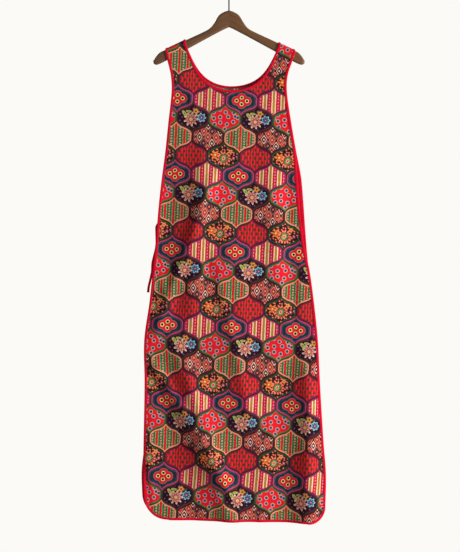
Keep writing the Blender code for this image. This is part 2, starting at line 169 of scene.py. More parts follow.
backCreases = [
    (0.130, -0.262, 0.070, -0.450, 0.011, 0.0020, 0.08),
    (-0.126, -0.268, -0.080, -0.520, 0.010, 0.0022, 0.10),
    (0.188, -0.640, 0.100, -0.790, 0.012, -0.0024, 0.07),
    (-0.180, -0.660, -0.120, -0.830, 0.013, 0.0024, 0.07),
    (-0.010, -0.360, -0.026, -0.600, 0.012, -0.0018, 0.10),
    (0.200, -0.780, 0.160, -1.080, 0.012, 0.0026, 0.12),
    (-0.060, -0.880, -0.100, -1.250, 0.014, -0.0024, 0.13),
    (0.130, -1.200, 0.150, -1.560, 0.012, 0.0024, 0.12),
    (-0.040, -1.280, -0.020, -1.640, 0.013, 0.0028, 0.12),
]
front = {
    "name": "front_panel",
    "facing": -1,
    "sides": frontSides,
    "neckLow": -0.3062,
    "chestY": -0.0230,
    "hemY": -0.0310,
    "flare": 0.0,
    "folds": frontFolds,
    "creases": frontCreases,
    "seed": 3.1,
}
back = {
    "name": "back_panel",
    "facing": 1,
    "sides": backSides,
    "neckLow": -0.2906,
    "chestY": 0.0090,
    "hemY": 0.0170,
    "flare": 0.0055,         # how far the right binding rolls into sight at the waist
    "folds": backFolds,
    "creases": backCreases,
    "seed": 17.7,
}

# Hanger arms
wood = {
    "half": 0.0065,
    "sweep": 0.016,
    "reach": 0.210,
    "innerX": 0.060,
    "innerTop": -0.1340,
    "slope": -0.489,
    "rings": 64,
    "crowding": 1.25,        # above 1, the rings crowd towards the tip
    "roundSteps": 14,
    "tip": ((0.0012, 0.86), (0.0020, 0.62), (0.0024, 0.30)),  # past the reach, share of size
    "sharpAngle": 50.0,
}
# Sections of one half: reach, top, bottom, half thickness
woodRows = [
    (0.0, -0.0780, -0.1255, 0.0075),
    (0.015, -0.0835, -0.1325, 0.0075),
    (0.029, -0.0935, -0.1400, 0.0073),
    (0.041, -0.1130, -0.1465, 0.0069),
    (0.049, -0.1245, -0.1508, 0.0067),
    (0.060, -0.1340, -0.1570, 0.0065),
    (0.120, -0.1633, -0.1905, 0.0065),
    (0.178, -0.1917, -0.2230, 0.0065),
    (0.194, -0.1995, -0.2312, 0.0065),
    (0.205, -0.2110, -0.2342, 0.0060),
    (0.210, -0.2195, -0.2315, 0.0048),
]


def smooth(value):
    value = min(max(value, 0.0), 1.0)
    return value * value * (3.0 - 2.0 * value)


def blend(start, end, share):
    return start + (end - start) * share


def curveThrough(rows, column, height):
    # Smooth curve through a table whose first column falls
    last = len(rows) - 1
    low = next((i for i in range(1, last + 1) if rows[i][0] <= height), last)
    span = rows[low][0] - rows[low - 1][0]

    def slope(i):
        before = rows[max(i - 1, 0)]
        after = rows[min(i + 1, last)]
        return (after[column] - before[column]) / (after[0] - before[0])

    share = (height - rows[low - 1][0]) / span
    square = share * share
    cube = square * share
    return (
        (2 * cube - 3 * square + 1) * rows[low - 1][column]
        + (cube - 2 * square + share) * span * slope(low - 1)
        + (3 * square - 2 * cube) * rows[low][column]
        + (cube - square) * span * slope(low)
    )


def armTop(x):
    return wood["innerTop"] + wood["slope"] * (abs(x) - wood["innerX"])


def armY(x):
    return -wood["sweep"] * abs(x) / wood["reach"]


def wrapStart(x):
    return armTop(x) - wood["half"]


def seamLevel(x):
    return wrapStart(x) + cloth["wrap"] * math.pi / 2


def foldDepth(folds, x, height):
    depth = 0.0
    for topX, top, bottomX, bottom, spread, rise, fade in folds:
        if height > top:
            continue
        away = (x - blend(topX, bottomX, (height - top) / (bottom - top))) / spread
        if abs(away) < 4.0:  # further out a fold is flat
            along = smooth((top - height) / fade) * smooth((height - bottom) / fade)
            depth += rise * math.exp(-away * away) * along
    return depth


def bigShape(panel, x, level):
    # Depth and height of the cloth with its large folds only
    height = level
    out = cloth["wrap"]
    start = wrapStart(x)
    if level > start:
        turn = math.pi / 2 - (level - start) / cloth["wrap"]
        height = start + cloth["wrap"] * math.cos(turn)
        out = cloth["wrap"] * math.sin(turn)
    onArm = armY(x) + panel["facing"] * (out + cloth["shoulderGap"])
    fall = (height - cloth["freeFall"]) / (cloth["hemMiddle"] - cloth["freeFall"])
    free = blend(panel["chestY"], panel["hemY"], min(max(fall, 0.0), 1.0))
    share = smooth((cloth["followArm"] - height) / (cloth["followArm"] - cloth["freeFall"]))
    y = blend(onArm, free, share)
    begin = cloth["foldsBegin"]
    y += panel["facing"] * foldDepth(panel["folds"], x, height) * smooth(
        (begin - height) / (begin - cloth["foldsFull"])
    )
    return y, height


def smallShape(panel, x, height):
    # Creases, soft ripples and the waves of the free edges
    seed = panel["seed"]
    depth = foldDepth(panel["creases"], x, height)
    wide, tall = cloth["rippleScale"]
    depth += cloth["ripple"] * noise.noise(Vector((x * wide, height * tall, seed)))
    wide, tall = cloth["puckerScale"]
    depth += cloth["pucker"] * noise.noise(Vector((x * wide, height * tall, seed + 9)))
    # The two sides wave by different parts of the noise
    for column, shift in ((1, 0.0), (2, 40.0)):
        away = abs(x - curveThrough(panel["sides"], column, height)) / cloth["flutterReach"]
        if away < 3.0:
            wave = noise.noise(Vector((height * cloth["flutterScale"], seed + shift, 0.5)))
            depth += cloth["flutter"] * wave * math.exp(-away * away)
            tuck = noise.noise(Vector((height * cloth["tuckScale"], seed + shift, 7.5)))
            depth += cloth["tuck"] * tuck * math.exp(-3.0 * away * away)
    return depth * smooth((cloth["foldsBegin"] - height) / cloth["creaseFade"])


def hang(panel, x, level):
    y, height = bigShape(panel, x, level)
    return Vector((x, y + panel["facing"] * smallShape(panel, x, height), height))


def outward(panel, x, level):
    step = 0.0004
    across = hang(panel, x + step, level) - hang(panel, x - step, level)
    up = hang(panel, x, min(level + step, seamLevel(x))) - hang(panel, x, level - step)
    return (across.cross(up) * -panel["facing"]).normalized()


# The bindings: widths, folded wall and the shape of the fold
binding = {
    "seamGap": 0.0004,
    "wall": 0.0007,
    "edgeWidth": 0.0070,
    "neckWidth": 0.0066,
    "low": 0.0007,           # inner skin, from the middle of the cloth
    "high": 0.0014,
    "bulge": 0.00035,
    "groove": 0.00022,       # where the stitches pull the strip in
    "pull": 0.00016,         # uneven pull along the strip
    "pullScale": 150.0,
    "edgeSeed": 5.0,
    "neckSeed": 11.0,
    "flareLevel": -0.600,
    "flareReach": 0.080,
    "step": 0.0060,
    "neckSteps": 84,
    "cornerSteps": 12,
    "wrapSteps": 8,
}
proud = binding["seamGap"] + binding["wall"]


def sideX(panel, column, level):
    inset = proud if column == 1 else -proud
    return curveThrough(panel["sides"], column, level) + inset


def hemLevel(x):
    return cloth["hemMiddle"] + cloth["hemTilt"] * x + proud


def neckPoint(panel, angle):
    half = neck["half"] + proud
    sink = math.sin(angle)
    hand = -1 if angle < math.pi / 2 else 1
    top = wrapStart(neck["middle"] + hand * half)
    x = neck["middle"] - half * math.cos(angle) * (1 - neck["pull"] * sink * (1 - sink))
    return x, blend(top, panel["neckLow"] - proud, sink)


def cornerPoint(panel, column, angle):
    # On the rounded hem corner, from 0 at the side to 90 degrees at the hem
    sign = -1 if column == 1 else 1
    radius = cloth["corners"][column - 1]
    x = sideX(panel, column, hemLevel(0.0) + radius)
    middle = (x - sign * radius, hemLevel(x) + radius)
    return middle[0] + sign * radius * math.cos(angle), middle[1] - radius * math.sin(angle)


def seamStations(x, innerX, steps):
    # From the shoulder seam down round the arm, at two places across
    rows = []
    for step in range(steps + 1):
        drop = cloth["wrap"] * math.pi / 2 * step / steps
        rows.append(((x, seamLevel(x) - drop), (innerX, seamLevel(innerX) - drop)))
    return rows


def halfRows(panel, column):
    # Rows of one half of the flat pattern: outer point, inner point
    sign = -1 if column == 1 else 1
    outerX = sideX(panel, column, armTop(strapOuter))
    middle = neck["middle"]
    neckX = middle + sign * (neck["half"] + proud)
    rows = seamStations(outerX, neckX, clothRows["wrap"])[:-1]

    def addRow(level, innerLevel):
        rows.append(((sideX(panel, column, level), level), (middle, innerLevel)))

    # Strap and neck
    outerTop = wrapStart(outerX)
    count = clothRows["neck"]
    for i in range(count + 1):
        angle = math.pi / 2 * i / count
        inner = neckPoint(panel, angle if column == 1 else math.pi - angle)
        level = blend(outerTop, clothRows["neckSide"], i / count)
        x = blend(outerX, sideX(panel, column, level), smooth(i / clothRows["strap"]))
        rows.append(((x, level), inner))
    # Chest, where the rows come level, then the length of the dress
    low = panel["neckLow"] - proud
    even = clothRows["level"]
    count = clothRows["levelling"]
    for i in range(1, count + 1):
        addRow(blend(clothRows["neckSide"], even, i / count), blend(low, even, i / count))
    innerEnd = hemLevel(middle) + cloth["innerCorner"]
    outerEnd = cornerPoint(panel, column, 0.0)[1]
    count = round((even - innerEnd) / clothRows["step"])
    for i in range(1, count + 1):
        addRow(blend(even, outerEnd, i / count), blend(even, innerEnd, i / count))
    # Rounded hem corner
    for i in range(1, clothRows["corner"] + 1):
        angle = math.pi / 2 * i / clothRows["corner"]
        inner = (middle, innerEnd - cloth["innerCorner"] * math.sin(angle))
        rows.append((cornerPoint(panel, column, angle), inner))
    return rows


# The print's grain on each panel: place of one tile's centre, and turn of the rows
grain = {
    "front": {"x": -0.1053, "level": -0.4890, "turn": 0.045},
    "back": {"x": 0.0620, "level": -0.4300, "turn": -0.020},
}


def arcTable(panel):
    # Flat width from the middle out to each x, longer than x where the cloth is folded
    xs = np.arange(*widthGrid["x"])
    levels = np.arange(*widthGrid["level"])
    table = []
    for level in levels:
        depths = np.array([bigShape(panel, x, level)[0] for x in xs])
        steps = np.hypot(np.diff(xs), np.diff(depths))
        lengths = np.concatenate(([0.0], np.cumsum(steps)))
        table.append(lengths - np.interp(0.0, xs, lengths))
    return xs, levels, np.array(table)


def flatWidth(arc, x, level):
    xs, levels, table = arc
    place = min(max((level - levels[0]) / (levels[1] - levels[0]), 0.0), len(levels) - 1.001)
    row = int(place)
    low = np.interp(x, xs, table[row])
    high = np.interp(x, xs, table[row + 1])
    return float(blend(low, high, place - row))


def addPanel(panel, grainSpot, materials):
    arc = arcTable(panel)
    bm = bmesh.new()
    columns = clothRows["columns"]
    for column in (1, 2):
        rows = halfRows(panel, column)
        made = bmesh.ops.create_grid(bm, x_segments=columns, y_segments=len(rows) - 1, size=0.5)
        for vert in made["verts"]:
            outer, inner = rows[round((vert.co.y + 0.5) * (len(rows) - 1))]
            share = vert.co.x + 0.5
            vert.co = (blend(outer[0], inner[0], share), 0.0, blend(outer[1], inner[1], share))
    bmesh.ops.remove_doubles(bm, verts=bm.verts, dist=0.000001)
    uvLayer = bm.loops.layers.uv.new("clothMap")
    cos, sin = math.cos(grainSpot["turn"]), math.sin(grainSpot["turn"])
    startWidth = flatWidth(arc, grainSpot["x"], grainSpot["level"])
    widths = []
    levels = []
    for vert in bm.verts:
        level = vert.co.z
        width = flatWidth(arc, vert.co.x, level)
        widths.append(width)
        levels.append(level)
        across = (width - startWidth) * -panel["facing"]
        up = level - grainSpot["level"]
        for loop in vert.link_loops:
            loop[uvLayer].uv = (across * cos - up * sin, across * sin + up * cos)
        vert.co = hang(panel, vert.co.x, level)
    bmesh.ops.recalc_face_normals(bm, faces=bm.faces)
    if sum(face.normal.y for face in bm.faces) * panel["facing"] < 0:
        bmesh.ops.reverse_faces(bm, faces=bm.faces)
    area = sum(face.calc_area() for face in bm.faces)
    mesh = bpy.data.meshes.new(panel["name"] + "_cloth")
    bm.to_mesh(mesh)
    bm.free()
    thing = addObject(panel["name"] + "_cloth", mesh, *materials)
    wall = thing.modifiers.new("wall", "SOLIDIFY")
    wall.thickness = cloth["wall"]
    wall.offset = 0.0
    wall.material_offset = 1
    flat = (max(widths) - min(widths), max(levels) - min(levels))
    print("panel", panel["name"], "flat", [round(v, 4) for v in flat], "area", round(area, 4))
    return thing, flat, area


def addObject(name, mesh, *materials):
    for material in materials:
        mesh.materials.append(material)
    thing = bpy.data.objects.new(name, mesh)
    scene.collection.objects.link(thing)
    mesh.shade_smooth()
    return thing


def surface(name, rings, material, loop=False):
    # A skin through rings of equal count, closed along its length or capped
    count = len(rings[0])
    rows = len(rings) if loop else len(rings) - 1
    bm = bmesh.new()
    bmesh.ops.create_grid(bm, x_segments=rows, y_segments=count, size=0.5)
    for vert in bm.verts:
        ring = rings[round((vert.co.x + 0.5) * rows) % len(rings)]
        vert.co = ring[round((vert.co.y + 0.5) * count) % count]
    bmesh.ops.remove_doubles(bm, verts=bm.verts, dist=0.0000001)
    if not loop:
        rims = [edge for edge in bm.edges if edge.is_boundary]
        bmesh.ops.holes_fill(bm, edges=rims, sides=0)
    bmesh.ops.recalc_face_normals(bm, faces=bm.faces)
    mesh = bpy.data.meshes.new(name)
    bm.to_mesh(mesh)
    bm.free()
    return addObject(name, mesh, material)


def pairedStations(points, width, flare=0.0):
    # Each edge point with the point a binding's width inside the cloth
    rows = []
    for before, here, after in zip(points, points[1:], points[2:]):
        run = Vector((after[0] - before[0], after[1] - before[1])).normalized()
        size = width
        if here[0] > 0:
            away = (here[1] - binding["flareLevel"]) / binding["flareReach"]
            size += flare * math.exp(-(away ** 2))
        rows.append((here, (here[0] + run.y * size, here[1] - run.x * size)))
    return rows


def neckChain(panel):
    width = binding["neckWidth"] - proud
    ends = []
    for sign in (-1, 1):
        x = neck["middle"] + sign * (neck["half"] + proud)
        ends.append(seamStations(x, x + sign * width, binding["wrapSteps"]))
    count = binding["neckSteps"]
    points = [neckPoint(panel, math.pi * i / count) for i in range(count + 1)]
    curve = pairedStations(points, width)
    # The curve's two points at each end would crowd the seam's stations
    return ends[0] + curve[2:-2] + ends[1][::-1]


def outerChain(panel):
    width = binding["edgeWidth"] - proud
    ends = {}
    for column, sign in ((2, -1), (1, 1)):
        x = sideX(panel, column, armTop(strapOuter))
        ends[column] = seamStations(x, x + sign * width, binding["wrapSteps"])

    def sideRun(column):
        high = ends[column][-1][0][1]
        low = cornerPoint(panel, column, 0.0)[1]
        count = round((high - low) / binding["step"])
        levels = [blend(high, low, i / count) for i in range(1, count)]
        return [(sideX(panel, column, level), level) for level in levels]

    steps = binding["cornerSteps"]
    turns = [math.pi / 2 * i / steps for i in range(steps + 1)]
    rightCorner = [cornerPoint(panel, 2, turn) for turn in turns]
    leftCorner = [cornerPoint(panel, 1, turn) for turn in turns][::-1]
    startX, endX = rightCorner[-1][0], leftCorner[0][0]
    count = round((startX - endX) / binding["step"])
    hemRun = [blend(startX, endX, i / count) for i in range(1, count)]
    points = [ends[2][-1][0]] + sideRun(2) + rightCorner
    points += [(x, hemLevel(x)) for x in hemRun]
    points += leftCorner + sideRun(1)[::-1] + [ends[1][-1][0]]
    return ends[2] + pairedStations(points, width, panel["flare"]) + ends[1][::-1]


# The folded strip's section: share from inner line to edge, past the edge, height
def bindingSection():
    low, high, bulge = binding["low"], binding["high"], binding["bulge"]
    leg = [
        (0.000, 0.0, low + 0.0001),
        (0.005, 0.0, high * 0.80),
        (0.050, 0.0, high + bulge * 0.5),
        (0.110, 0.0, high + bulge * 0.3),
        (0.170, 0.0, high - binding["groove"]),
        (0.240, 0.0, high + bulge * 0.4),
        (0.420, 0.0, high + bulge),
        (0.680, 0.0, high + bulge * 0.8),
        (0.930, 0.0, high + bulge * 0.2),
    ]
    fold = []
    for degrees in (22, 48, 74, 106, 132, 158):
        turn = math.radians(degrees)
        fold.append((1.0, proud * math.sin(turn), high * math.cos(turn)))
    mirrored = [(share, past, -height) for share, past, height in leg[::-1]]
    inside = [
        (0.02, 0.0, -low),
        (1.00, 0.0, -low),
        (1.00, binding["seamGap"], 0.0),
        (1.00, 0.0, low),
        (0.02, 0.0, low),
    ]
    return leg + fold + mirrored + inside


def bindingFrame(panel, station):
    edge = hang(panel, *station[0])
    inner = hang(panel, *station[1])
    return edge, inner, outward(panel, *station[0]), outward(panel, *station[1])


def bindingRings(chains, seed):
    section = bindingSection()
    rings = []
    frames = []
    for panel, chain in chains:
        for station in chain:
            edge, inner, edgeOut, innerOut = bindingFrame(panel, station)
            frames.append((edge, inner, edgeOut, innerOut))
            away = (edge - inner).normalized()
            pulled = binding["pull"] * noise.noise(edge * binding["pullScale"] + Vector((seed, 0, 0)))
            ring = []
            for share, past, height in section:
                puff = pulled * math.sin(math.pi * share) * (1 if height > 0 else -1)
                normal = innerOut.lerp(edgeOut, share)
                ring.append(inner.lerp(edge, share) + away * past + normal * (height + puff))
            rings.append(ring)
    return rings, frames


# Sewing thread, seen as short raised stitches
thread = {
    "pitch": 0.0027,
    "gap": 0.0005,
    "half": 0.00020,
    "rise": 0.00022,
    "share": 0.17,           # place on a binding, from its inner line to the edge
}


def stitchSpots(line):
    # Start, end and normal of each stitch along a line of (point, normal)
    lengths = [0.0]
    for a, b in zip(line, line[1:]):
        lengths.append(lengths[-1] + (b[0] - a[0]).length)
    points = np.array([tuple(p) for p, _ in line])
    normals = np.array([tuple(n) for _, n in line])

    def at(values, place):
        return np.array([np.interp(place, lengths, values[:, k]) for k in range(3)])

    spots = []
    for i in range(int(lengths[-1] / thread["pitch"])):
        start = i * thread["pitch"]
        end = start + thread["pitch"] - thread["gap"]
        spots.append((at(points, start), at(points, end), at(normals, start + thread["pitch"] / 2)))
    return spots


def addStitches(name, lines, material):
    verts = []
    faces = []
    for line in lines:
        for start, end, normal in stitchSpots(line):
            run = end - start
            side = np.cross(run, normal)
            side *= thread["half"] / max(np.linalg.norm(side), 1e-9)
            up = normal / np.linalg.norm(normal) * thread["rise"]
            first = len(verts)
            # A square section a quarter in from each end, and a point at each end
            for share in (0.25, 0.75):
                middle = start + run * share
                verts += [middle + side, middle + up, middle - side, middle - up * 0.5]
            verts += [start - up * 0.5, end - up * 0.5]
            for i in range(4):
                j = (i + 1) % 4
                faces.append((first + i, first + j, first + 4 + j, first + 4 + i))
                faces.append((first + 8, first + j, first + i))
                faces.append((first + 9, first + 4 + i, first + 4 + j))
    mesh = bpy.data.meshes.new(name)
    mesh.from_pydata([tuple(v) for v in verts], [], faces)
    bm = bmesh.new()
    bm.from_mesh(mesh)
    bmesh.ops.recalc_face_normals(bm, faces=bm.faces)
    bm.to_mesh(mesh)
    bm.free()
    return addObject(name, mesh, material)


def stitchLines(frames):
    # One closed line on each face of a binding
    frames = frames + frames[:1]
    lines = []
    for side in (1, -1):
        line = []
        for edge, inner, edgeOut, innerOut in frames:
            normal = innerOut.lerp(edgeOut, thread["share"]) * side
            height = binding["high"] - binding["groove"]
            line.append((inner.lerp(edge, thread["share"]) + normal * height, normal))
        lines.append(line)
    return lines


def linear(hexColour):
    # sRGB hex to linear red, green, blue, alpha
    parts = [int(hexColour[i : i + 2], 16) / 255 for i in (1, 3, 5)]
    return [c / 12.92 if c <= 0.04045 else ((c + 0.055) / 1.055) ** 2.4 for c in parts] + [1.0]


def addNode(tree, kind, *values, out=0, stops=(), **settings):
    # Lower-case kinds are math operations, hex strings are colours, stops fill a stepped ramp
    isMath = kind[0].islower()
    node = tree.nodes.new("ShaderNodeMath" if isMath else "ShaderNode" + kind)
    if isMath:
        node.operation = kind.upper()
    for name, value in settings.items():
        setattr(node, name, value)
    if stops:
        ramp = node.color_ramp
        ramp.interpolation = "CONSTANT"
        while len(ramp.elements) < len(stops):
            ramp.elements.new(0.5)
        for element, (place, colour) in zip(ramp.elements, stops):
            element.position = place
            element.color = linear(colour) if colour else (0.0, 0.0, 0.0, 0.0)
    for key, value in enumerate(values):
        if value is None:
            continue
        if isinstance(value, bpy.types.NodeSocket):
            tree.links.new(value, node.inputs[key])
        else:
            node.inputs[key].default_value = linear(value) if isinstance(value, str) else value
    return node.outputs[out]


# The patchwork print, sizes in millimetres
calico = {
    "columnPitch": 90.0,
    "rowPitch": 52.9,
    "lift": 15.5,            # how far the tips stand out past an even row
    "pointed": 0.50,         # 0 gives the tiles straight sides, 1 the most pointed tips
    "rimShare": 0.86,        # a sloping side is nearer than it measures straight up
    "borderRound": 6.0,
    "wobble": 1.1,
    "wobbleScale": 140.0,
    "outline": 1.7,
    "border": 5.0,
}


def printGroup():
    tree = bpy.data.node_groups.new("calicoPrint", "ShaderNodeTree")
    tree.interface.new_socket(name="Place", in_out="INPUT", socket_type="NodeSocketVector")
    tree.interface.new_socket(name="Color", in_out="OUTPUT", socket_type="NodeSocketColor")
    enter = tree.nodes.new("NodeGroupInput")
    leave = tree.nodes.new("NodeGroupOutput")
    place = enter.outputs["Place"]

    def add(kind, *values, **settings):
        return addNode(tree, kind, *values, **settings)

    def paint(base, distance, reach, *stops):
        # Lays rings of colour over the base, by distance up to the reach
        share = add("divide", distance, reach)
        ink = add("ValToRGB", share, stops=[(stop / reach, colour) for stop, colour in stops])
        return add("MixRGB", ink.node.outputs[1], base, ink)

    # Place on the cloth with the unsteady edges of a block print, then in mm
    drawn = add("TexNoise", place, None, calico["wobbleScale"], 1.0, out=1)
    drawn = add("VectorMath", drawn, (0.5, 0.5, 0.5), operation="SUBTRACT")
    drawn = add("VectorMath", drawn, (2 * calico["wobble"] / 1000,) * 3, operation="MULTIPLY")
    drawn = add("VectorMath", place, drawn, operation="ADD")
    parts = add("SeparateXYZ", drawn).node.outputs
    across = add("multiply", parts[0], 1000.0)
    down = add("multiply", parts[1], -1000.0)

    def tileEdge(x):
        # Half height of a tile at x: pointed at the middle, hollow at the sides
        swing = add("multiply_add", add("absolute", x), -4.0 / calico["columnPitch"], 1.0)
        square = add("multiply", swing, swing)
        sharp = add("multiply_add", square, calico["pointed"], 1.0 - calico["pointed"])
        bend = add("multiply", swing, sharp)
        return add("multiply_add", bend, calico["lift"], calico["rowPitch"] / 2)

    def tileX(row):
        odd = add("floored_modulo", row, 2.0)
        shifted = add("multiply_add", odd, -calico["columnPitch"] / 2, across)
        column = add("round", add("divide", shifted, calico["columnPitch"]))
        return odd, column, add("multiply_add", column, -calico["columnPitch"], shifted)

    # The tile at this place, x and y from its middle, and the distance in from its rim
    nearRow = add("round", add("divide", down, calico["rowPitch"]))
    nearY = add("multiply_add", nearRow, -calico["rowPitch"], down)
    nearX = tileX(nearRow)[2]
    past = add("greater_than", add("absolute", nearY), tileEdge(nearX))
    row = add("multiply_add", past, add("sign", nearY), nearRow)
    odd, column, x = tileX(row)
    y = add("multiply_add", row, calico["rowPitch"], add("multiply", down, -1.0))
    rim = add("subtract", tileEdge(x), add("absolute", y))
    rim = add("multiply", rim, calico["rimShare"])
    side = add("subtract", calico["columnPitch"] / 2, add("absolute", x))
    rim = add("smooth_min", rim, side, calico["borderRound"])
    spot = add("CombineXYZ", x, y, 0.0)
    # Eight kinds of tile: four in even rows and four in odd ones, two to a row
    lower = add("greater_than", add("floored_modulo", row, 4.0), 1.5)
    kind = add("multiply_add", lower, 2.0, add("floored_modulo", column, 2.0))
    kind = add("multiply_add", odd, 4.0, kind)

    def length(vector):
        return add("VectorMath", vector, operation="LENGTH", out=1)

    def oval(offX, offY, halfX, halfY):
        flat = add("CombineXYZ", add("divide", offX, halfX), add("divide", offY, halfY), 0.0)
        return length(flat)

    def staggered(pitchX, pitchY, shiftX=0.0):
        # Offsets from the nearest point of a half-drop lattice
        line = add("round", add("divide", y, pitchY))
        offY = add("multiply_add", line, -pitchY, y)
        turn = add("floored_modulo", line, 2.0)
        moved = add("multiply_add", turn, -pitchX / 2, add("add", x, shiftX))
        offX = add("multiply_add", add("round", add("divide", moved, pitchX)), -pitchX, moved)
        return offX, offY

    def scattered(density, looseness, pitch):
        # Distance in mm from points scattered about the pitch apart
        near = add(
            "TexVoronoi", spot, None, density, 0.0, *[None] * 4, looseness, voronoi_dimensions="2D"
        )
        return add("multiply", near, pitch)

    def flower(middleX, middleY, size, petals, depth, turn=0.0):
        # Distance in petal lengths from a flower's middle
        away = add("VectorMath", spot, (middleX, middleY, 0.0), operation="SUBTRACT")
        split = add("SeparateXYZ", away).node.outputs
        angle = add("arctan2", split[1], split[0])
        wave = add("cosine", add("multiply_add", angle, float(petals), turn))
        petal = add("multiply_add", wave, size * depth, size * (1 - depth))
        return add("divide", length(away), petal)

    def tilted(middleX, middleY, angle, halfX, halfY):
        # Distance from the middle of a turned oval, 1 on its edge
        away = add("VectorMath", spot, (middleX, middleY, 0.0), operation="SUBTRACT")
        turned = add("VectorRotate", away, (0.0, 0.0, 0.0), None, angle, rotation_type="Z_AXIS")
        sized = add("VectorMath", turned, (1 / halfX, 1 / halfY, 0.0), operation="MULTIPLY")
        return length(sized)

    # The tiles' drawings follow: places and sizes in mm from a tile's middle, angles in radians
    def seedStripes():
        # Narrow red stripes with green seeds
        stripe = add("floored_modulo", x, 8.0)
        tile = paint("#b0142c", stripe, 8.0, (0.0, "#b0142c"), (4.0, "#e02c2c"))
        seed = oval(*staggered(13.4, 11.6), 3.0, 4.2)
        return paint(tile, seed, 2.0, (0.0, "#2f5a2c"), (0.40, "#10301c"), (1.0, None))

    def lilies():
        # A lily, a leaf curl inside radiating leaves and a small rose on near black
        ground = "#1c0d10"
        tile = paint(
            ground, scattered(0.118, 0.8, 8.5), 6.0,
            (0.0, "#f0a070"), (0.9, "#e86848"), (2.2, ground), (3.9, "#5c2440"), (4.5, None),
        )
        lily = flower(-23.0, 4.0, 15.5, 6, 0.42, 0.6)
        tile = paint(
            tile, lily, 2.0,
            (0.0, "#f6d070"), (0.22, "#d8541c"), (0.55, "#f08838"), (0.9, "#7a2818"), (1.05, None),
        )
        ring = flower(2.0, -4.0, 19.5, 13, 0.02)
        gaps = flower(2.0, -4.0, 19.5, 13, 0.30)
        ring = add("maximum", add("multiply", gaps, 0.80), ring)
        tile = paint(tile, ring, 2.0, (0.0, ground), (0.68, "#f07c58"), (1.0, None))
        curl = tilted(1.0, -4.0, 0.5, 8.5, 11.0)
        tile = paint(
            tile, curl, 2.0,
            (0.0, "#d83038"), (0.34, "#f0c090"), (0.52, "#2c5430"), (0.66, "#6a9a58"),
            (0.92, "#123424"), (1.05, None),
        )
        rose = flower(20.0, 15.0, 9.0, 5, 0.25, 1.0)
        tile = paint(
            tile, rose, 2.0, (0.0, "#5a1a20"), (0.25, "#f0a050"), (0.62, "#e07048"), (1.0, None)
        )
        bud = tilted(29.0, -3.0, -0.4, 4.6, 6.2)
        return paint(tile, bud, 2.0, (0.0, "#f0a888"), (0.4, "#8c3c60"), (0.95, None))

    def daisies():
        # A daisy, a blue flower, a marigold and leaves on purple black
        offX, offY = staggered(13.0, 9.0, 3.0)
        tile = paint("#1f0b16", oval(offX, offY, 1.0, 1.0), 9.0, (0.0, "#784070"), (2.1, None))
        leaf = tilted(-23.0, 11.0, -0.7, 5.0, 11.0)
        tile = paint(tile, leaf, 2.0, (0.0, "#5c6a30"), (0.3, "#b0a860"), (0.95, None))
        leaf = tilted(-12.0, 17.5, -1.5, 3.6, 8.5)
        tile = paint(tile, leaf, 2.0, (0.0, "#5c6a30"), (0.3, "#a8a058"), (0.95, None))
        marigold = flower(8.0, 18.5, 11.0, 5, 0.2, 0.5)
        tile = paint(
            tile, marigold, 2.0, (0.0, "#5a2018"), (0.3, "#d09040"), (0.7, "#a86830"), (1.0, None)
        )
        blue = flower(24.5, 1.5, 13.5, 7, 0.16)
        tile = paint(
            tile, blue, 2.0,
            (0.0, "#e0b0a0"), (0.14, "#8a2038"), (0.34, "#285878"), (0.74, "#88b8c8"), (1.0, None),
        )
        daisy = flower(-4.5, -4.5, 20.5, 9, 0.24)
        return paint(
            tile, daisy, 2.0,
            (0.0, "#8a3028"), (0.09, "#f0c080"), (0.26, "#80303c"), (0.34, "#a44c52"),
            (0.62, "#c07064"), (0.84, "#ecc4a6"), (1.0, None),
        )

    def eyeDots():
        # Scattered eyes on scarlet
        return paint(
            "#e0182a", scattered(0.057, 0.62, 17.0), 12.0,
            (0.0, "#14304a"), (1.9, "#27526a"), (3.4, "#a884a0"), (4.6, "#d8a880"), (5.6, None),
        )

    def tanStripes():
        # Tan stripes edged with cream, dashes on the crimson between
        half = 12.5
        band = add("pingpong", x, half)
        tile = paint(
            "#c01030", band, half, (0.0, "#a87434"), (3.2, "#f2d2a2"), (6.2, "#80102c"), (6.9, "#c81434")
        )
        dash = add("subtract", add("pingpong", y, 4.25), 1.2)
        dash = add("maximum", add("subtract", half, band), dash)
        return paint(tile, dash, 4.0, (0.0, "#c8a0a8"), (1.0, None))

    def quatrefoil():
        # A scalloped band round a red field with four rings
        scallop = add("cosine", add("multiply", add("arctan2", y, x), 18.0))
        inset = add("multiply_add", scallop, 0.8, rim)
        tile = paint("#1a2834", inset, 40.0, (0.0, "#1a2834"), (6.6, "#325c68"), (8.0, "#1a2834"))
        fold = add("CombineXYZ", add("absolute", x), add("absolute", y), 0.0)
        eyes = add(
            "smooth_min",
            add("VectorMath", fold, (14.5, 0.0, 0.0), operation="DISTANCE", out=1),
            add("VectorMath", fold, (0.0, 9.0, 0.0), operation="DISTANCE", out=1),
            2.0,
        )
        return paint(
            tile, eyes, 18.0,
            (0.0, "#16180c"), (3.5, "#f2d888"), (5.5, "#78101c"), (6.6, "#dc1828"),
            (12.2, "#2f6a78"), (13.8, None),
        )

    def leafLattice():
